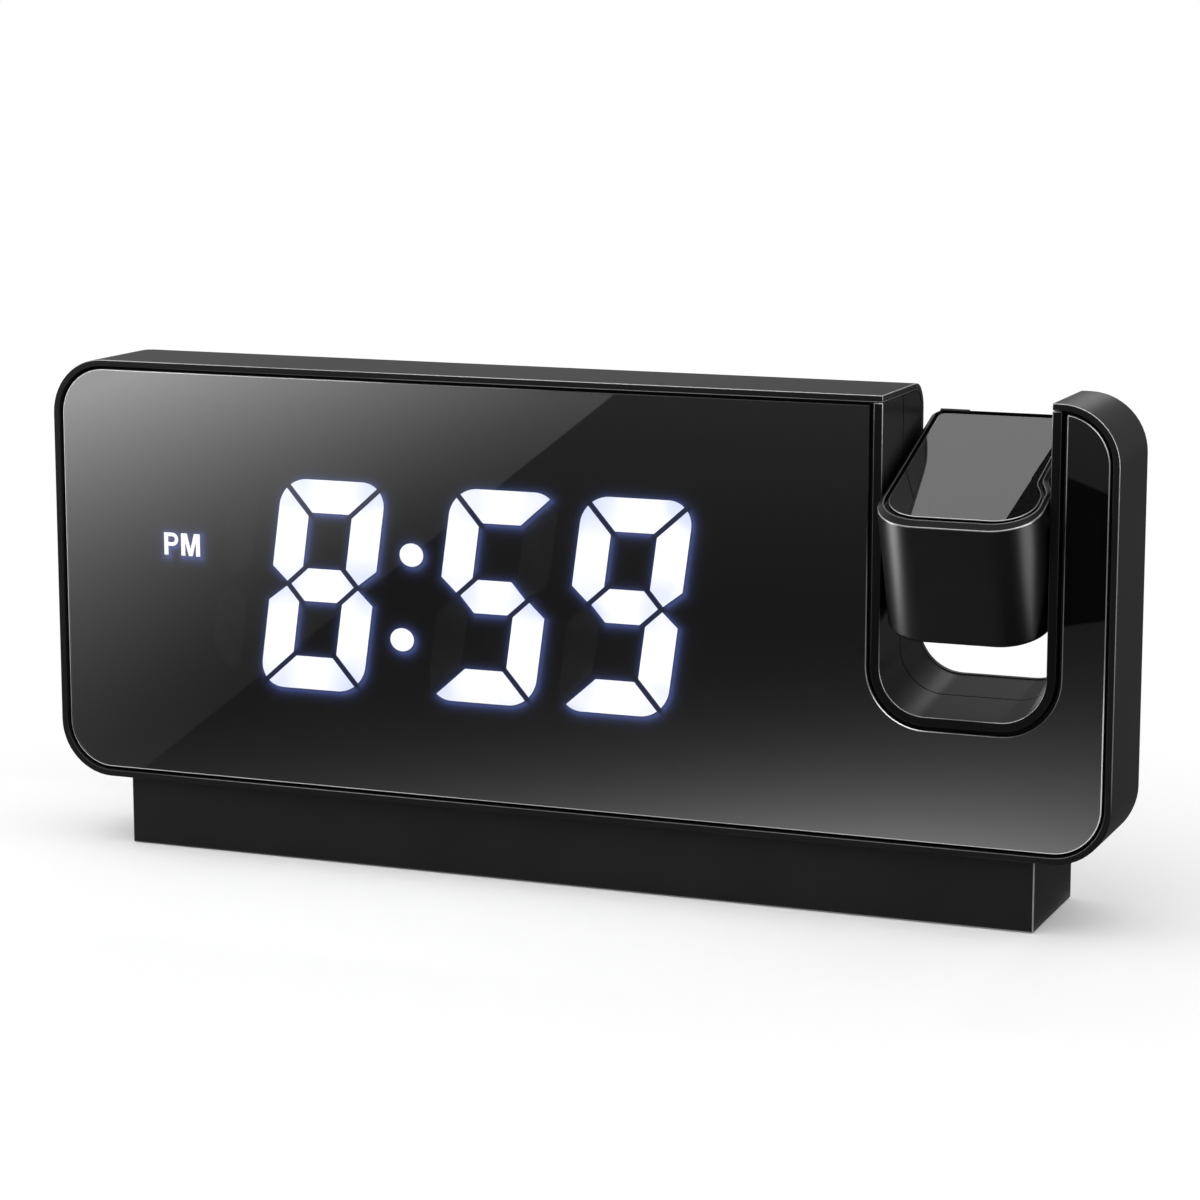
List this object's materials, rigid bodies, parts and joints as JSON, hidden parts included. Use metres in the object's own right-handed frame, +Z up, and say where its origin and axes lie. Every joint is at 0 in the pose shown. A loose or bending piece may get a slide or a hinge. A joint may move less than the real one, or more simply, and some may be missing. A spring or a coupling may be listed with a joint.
{
  "type": "projection alarm clock",
  "caption": "Table alarm clock with a rounded mirror-faced case, lit seven-segment digits, a low base and a small tilting projector head in a notch at the right.",
  "frame": {"origin": "middle of the grip pad's underside, on the table", "axes": "+Z up, +X to the clock's right seen from its front, +Y to the back; the display faces -Y"},
  "size_m": [0.186, 0.0437, 0.0845],
  "materials": {
    "case_plastic": "black ABS, fine satin",
    "base_plastic": "black ABS, satin",
    "head_plastic": "black ABS, satin",
    "button_plastic": "black ABS, fine texture",
    "trim_plastic": "piano-black gloss",
    "mirror_glass": "half-mirror acrylic, dark when lit from behind",
    "window_glass": "smoked acrylic",
    "display_black": "flat black",
    "lit_diffuser": "white diffuser, lit",
    "unlit_diffuser": "grey diffuser, unlit",
    "circuit_board": "green solder mask",
    "chip_black": "black moulding compound",
    "led_chips": "yellow phosphor",
    "steel": "plated steel",
    "rubber": "matt rubber",
    "acetal": "natural acetal",
    "lead_sleeve": "PVC sleeve",
    "clear_lens": "moulded clear acrylic"
  },
  "bodies": {
    "case": {"rear_housing": "case_plastic", "front_frame": "trim_plastic", "mirror_panel": "mirror_glass", "display_block": "display_black", "lit_segments": "lit_diffuser", "unlit_segments": "unlit_diffuser", "colon_dots": "lit_diffuser", "pm_window": "lit_diffuser", "display_board": "circuit_board", "display_leds": "led_chips", "main_board": "circuit_board", "board_chips": "chip_black", "board_header": "chip_black", "key_switches": "chip_black", "buzzer": "chip_black", "cell_holder": "chip_black", "coin_cell": "steel", "battery_door": "case_plastic", "battery_door_screw": "steel", "usb_inlet": "steel", "usb_outlet": "steel", "base_foot": "base_plastic", "base_plate": "base_plastic", "base_screws": "steel", "grip_pad": "rubber", "case_screws": "steel", "board_screws": "steel", "pivot_bush_left": "acetal", "pivot_bush_right": "acetal", "friction_washers": "steel", "case_lead": "lead_sleeve"},
    "head": {"head_shell": "head_plastic", "head_bezel": "trim_plastic", "head_window": "window_glass", "head_cover": "head_plastic", "head_screws": "steel", "pivot_shaft_left": "steel", "pivot_shaft_right": "steel", "shaft_clips": "steel", "head_board": "circuit_board", "projector_led": "led_chips", "lens_tube": "chip_black", "condenser_lens": "clear_lens", "image_lcd": "unlit_diffuser", "head_lead": "lead_sleeve"},
    "focus_dial": {"focus_ring": "rubber"},
    "lens_unit": {"lens_barrel": "chip_black", "projection_lens": "clear_lens"},
    "mode_key": {"mode_button": "button_plastic", "mode_plunger": "acetal"},
    "set_key": {"set_button": "button_plastic", "set_plunger": "acetal"},
    "alarm_key": {"alarm_button": "button_plastic", "alarm_plunger": "acetal"},
    "plus_key": {"plus_button": "button_plastic", "plus_plunger": "acetal"},
    "minus_key": {"minus_button": "button_plastic", "minus_plunger": "acetal"}
  },
  "joints": [
    {"name": "projector_tilt", "type": "hinge", "parent": "case", "child": "head", "pos_m": [0.0687, -0.0028, 0.0629], "axis": [1, 0, 0], "range_deg": [-110, 70]},
    {"name": "focus_turn", "type": "hinge", "parent": "head", "child": "focus_dial", "pos_m": [0.0687, 0.00832, 0.07035], "axis": [0, -0.342, 0.9397], "range_deg": [0, 270]},
    {"name": "lens_travel", "type": "slide", "parent": "head", "child": "lens_unit", "axis": [0, -0.342, 0.9397], "range_m": [0, 0.0015]},
    {"name": "mode_press", "type": "slide", "parent": "case", "child": "mode_key", "axis": [0, -1, 0], "range_m": [0, 0.0005], "stiffness_N_per_m": 800, "springref_m": -0.0005},
    {"name": "set_press", "type": "slide", "parent": "case", "child": "set_key", "axis": [0, -1, 0], "range_m": [0, 0.0005], "stiffness_N_per_m": 800, "springref_m": -0.0005},
    {"name": "alarm_press", "type": "slide", "parent": "case", "child": "alarm_key", "axis": [0, -1, 0], "range_m": [0, 0.0005], "stiffness_N_per_m": 800, "springref_m": -0.0005},
    {"name": "plus_press", "type": "slide", "parent": "case", "child": "plus_key", "axis": [0, -1, 0], "range_m": [0, 0.0005], "stiffness_N_per_m": 800, "springref_m": -0.0005},
    {"name": "minus_press", "type": "slide", "parent": "case", "child": "minus_key", "axis": [0, -1, 0], "range_m": [0, 0.0005], "stiffness_N_per_m": 800, "springref_m": -0.0005}
  ],
  "couplings": [
    {"joint": "focus_turn", "follows": "lens_travel", "rad_per_m": 3141.6}
  ]
}
